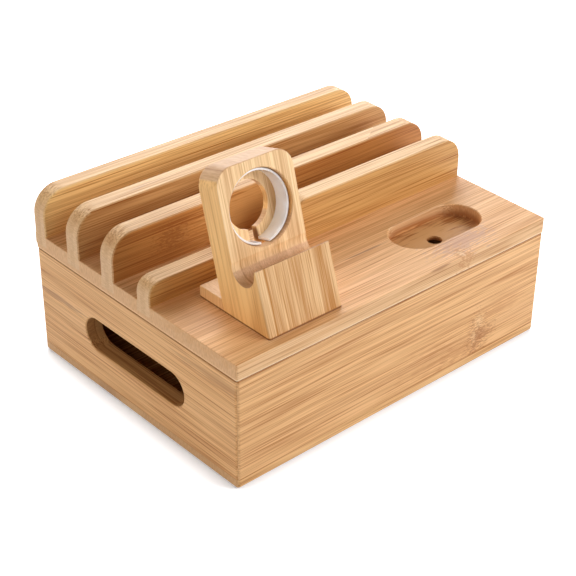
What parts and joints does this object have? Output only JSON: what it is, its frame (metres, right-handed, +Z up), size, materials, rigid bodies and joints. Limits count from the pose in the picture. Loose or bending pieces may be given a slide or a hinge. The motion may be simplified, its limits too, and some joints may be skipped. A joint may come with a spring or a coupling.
{
  "type": "charging station organizer",
  "caption": "Bamboo desk organizer for charging: a box for a charger with a lift-off lid that carries upright device dividers, an earbud tray and a loose watch stand.",
  "frame": {"origin": "middle of the box's underside, on the surface that the organizer stands on", "axes": "+X runs right along the dividers, +Y runs from the front of the lid to its rear, +Z is up"},
  "size_m": [0.19, 0.142, 0.127],
  "materials": {
    "box_bamboo": "satin",
    "lid_bamboo": "satin",
    "divider_bamboo": "satin",
    "stand_bamboo": "satin",
    "ring_plastic": "gloss"
  },
  "bodies": {
    "box": {"box_bottom_board": "box_bamboo", "box_front_panel": "box_bamboo", "box_back_panel": "box_bamboo", "box_left_panel": "box_bamboo", "box_right_panel": "box_bamboo"},
    "lid": {"lid_plate": "lid_bamboo", "lid_left_batten": "lid_bamboo", "lid_right_batten": "lid_bamboo", "front_divider": "divider_bamboo", "middle_front_divider": "divider_bamboo", "middle_rear_divider": "divider_bamboo", "rear_divider": "divider_bamboo"},
    "watch_stand": {"stand_block": "stand_bamboo", "stand_base_board": "stand_bamboo", "charger_ring": "ring_plastic"}
  },
  "joints": [
    {"name": "lid_lift", "type": "slide", "parent": "box", "child": "lid", "axis": [0, 0, 1], "range_m": [0, 0.06]},
    {"name": "watch_stand_lift", "type": "slide", "parent": "lid", "child": "watch_stand", "axis": [0, 0, 1], "range_m": [0, 0.04]}
  ]
}
